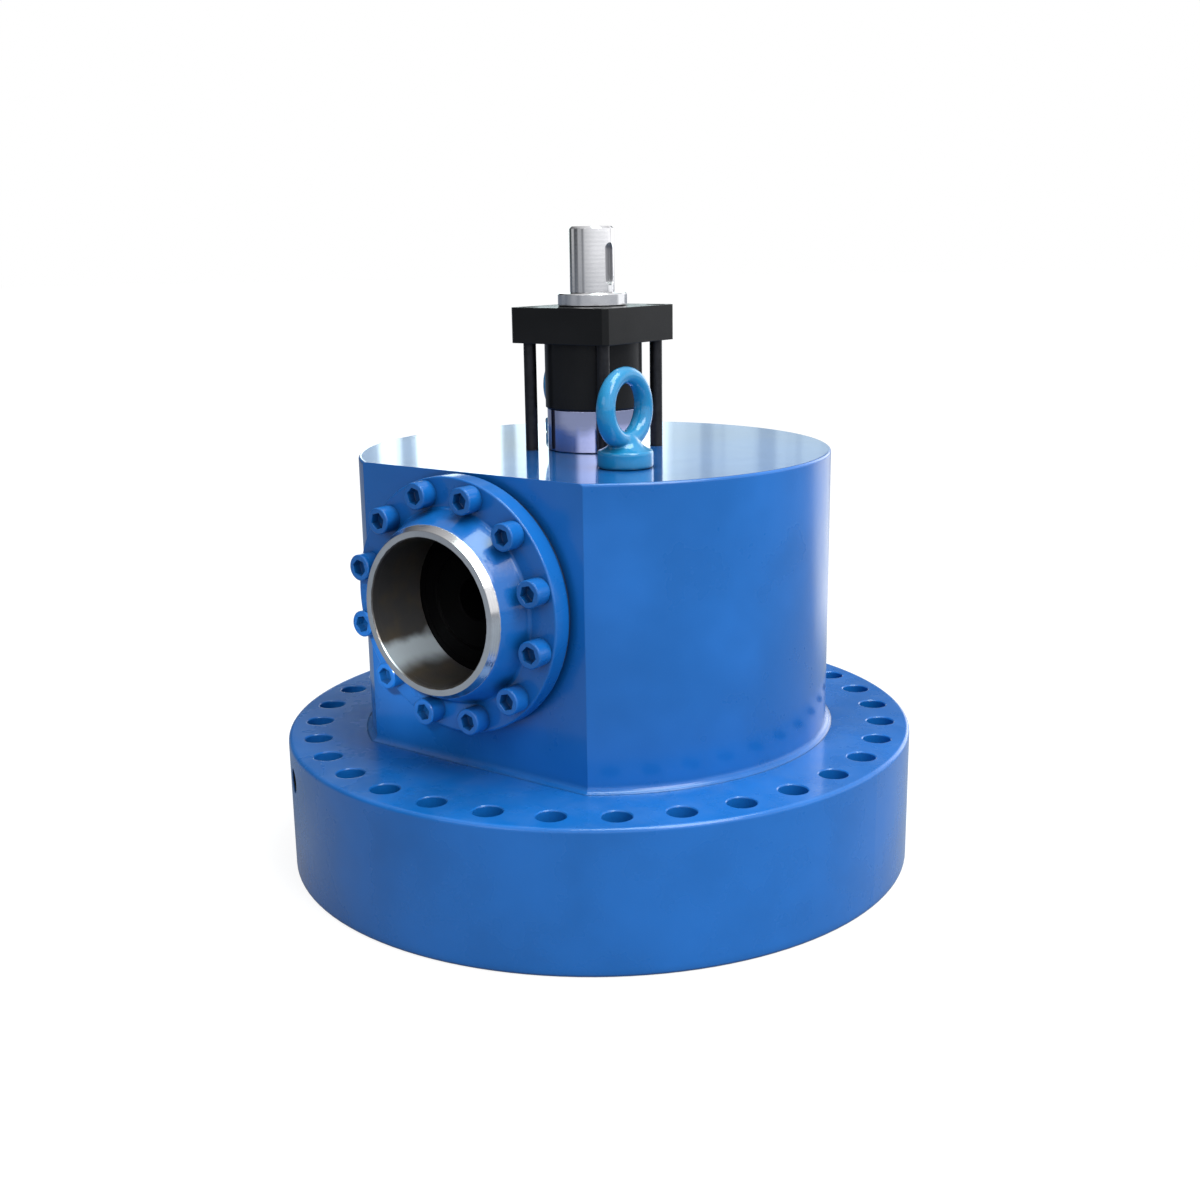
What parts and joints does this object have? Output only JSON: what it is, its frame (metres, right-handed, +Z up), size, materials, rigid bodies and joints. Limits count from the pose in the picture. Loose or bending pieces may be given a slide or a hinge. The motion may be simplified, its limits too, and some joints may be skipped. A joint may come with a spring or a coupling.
{
  "type": "right angle bevel gearbox",
  "caption": "Round housing on a drilled base flange, horizontal hollow input behind a weld-neck port flange, vertical keyed output shaft on a tie-bolted tower, lifting eyes on top.",
  "frame": {"origin": "centre of the base flange underside, on the output shaft axis", "axes": "+Z up along the output shaft, -Y along the input axis and out of the port"},
  "size_m": [0.616, 0.616, 0.609],
  "materials": {
    "body_paint": "satin",
    "screw_paint": "satin",
    "eye_paint": "gloss",
    "black_paint": "satin",
    "bright_steel": "brushed",
    "shaft_steel": "ground",
    "gear_steel": "ground",
    "bearing_steel": "polished",
    "black_steel": "black oxide",
    "zinc_steel": "zinc plated",
    "cage_brass": "satin",
    "seal_rubber": "matt",
    "gasket_fibre": "matt"
  },
  "bodies": {
    "frame": {"base_flange": "body_paint", "body": "body_paint", "bottom_cover": "body_paint", "bottom_gasket": "gasket_fibre", "bottom_screws": "zinc_steel", "port_flange": "body_paint", "port_gasket": "gasket_fibre", "port_screws": "screw_paint", "seal_carrier": "black_steel", "input_seal": "seal_rubber", "bearing_cartridge": "bright_steel", "tower_ring": "bright_steel", "tower_barrel": "black_paint", "tower_head": "black_paint", "tie_bolts": "black_steel", "pilot_ring": "bright_steel", "output_seal": "seal_rubber", "eye_bolt_front": "eye_paint", "eye_bolt_rear": "eye_paint", "rim_plug": "black_steel", "drain_plug": "black_steel", "breather": "zinc_steel", "sight_glass": "zinc_steel", "bearing_clip": "black_steel", "low_race_outer": "bearing_steel", "mid_race_outer": "bearing_steel", "top_race_outer": "bearing_steel", "in_race_outer_a": "bearing_steel", "in_race_outer_b": "bearing_steel"},
    "output": {"output_shaft": "shaft_steel", "crown_gear": "gear_steel", "crown_hub": "gear_steel", "crown_screws": "black_steel", "crown_key": "gear_steel", "crown_nut": "black_steel", "low_race_inner": "bearing_steel", "mid_race_inner": "bearing_steel", "top_race_inner": "bearing_steel"},
    "input": {"input_hub": "black_steel", "bevel_pinion": "gear_steel", "pinion_key": "gear_steel", "pinion_nut": "black_steel", "in_race_inner_a": "bearing_steel", "in_race_inner_b": "bearing_steel"},
    "low_cage_body": {"low_cage": "cage_brass"},
    "mid_cage_body": {"mid_cage": "cage_brass"},
    "top_cage_body": {"top_cage": "cage_brass"},
    "in_cage_a_body": {"in_cage_a": "cage_brass"},
    "in_cage_b_body": {"in_cage_b": "cage_brass"}
  },
  "joints": [
    {"name": "output_spin", "type": "hinge", "parent": "frame", "child": "output", "pos_m": [0, 0, 0.3], "axis": [0, 0, 1], "continuous": true},
    {"name": "input_spin", "type": "hinge", "parent": "frame", "child": "input", "pos_m": [0, -0.14, 0.286], "axis": [0, -1, 0], "continuous": true},
    {"name": "low_cage_spin", "type": "hinge", "parent": "frame", "child": "low_cage_body", "pos_m": [0, 0, 0.047], "axis": [0, 0, 1], "continuous": true},
    {"name": "mid_cage_spin", "type": "hinge", "parent": "frame", "child": "mid_cage_body", "pos_m": [0, 0, 0.365], "axis": [0, 0, 1], "continuous": true},
    {"name": "top_cage_spin", "type": "hinge", "parent": "frame", "child": "top_cage_body", "pos_m": [0, 0, 0.513], "axis": [0, 0, 1], "continuous": true},
    {"name": "in_cage_a_spin", "type": "hinge", "parent": "frame", "child": "in_cage_a_body", "pos_m": [0, -0.159, 0.286], "axis": [0, -1, 0], "continuous": true},
    {"name": "in_cage_b_spin", "type": "hinge", "parent": "frame", "child": "in_cage_b_body", "pos_m": [0, -0.116, 0.286], "axis": [0, -1, 0], "continuous": true}
  ],
  "couplings": [
    {"joint": "input_spin", "follows": "output_spin", "ratio": 1.5},
    {"joint": "low_cage_spin", "follows": "output_spin", "ratio": 0.4118},
    {"joint": "mid_cage_spin", "follows": "output_spin", "ratio": 0.4323},
    {"joint": "top_cage_spin", "follows": "output_spin", "ratio": 0.425},
    {"joint": "in_cage_a_spin", "follows": "output_spin", "ratio": 0.6522},
    {"joint": "in_cage_b_spin", "follows": "output_spin", "ratio": 0.6522}
  ]
}
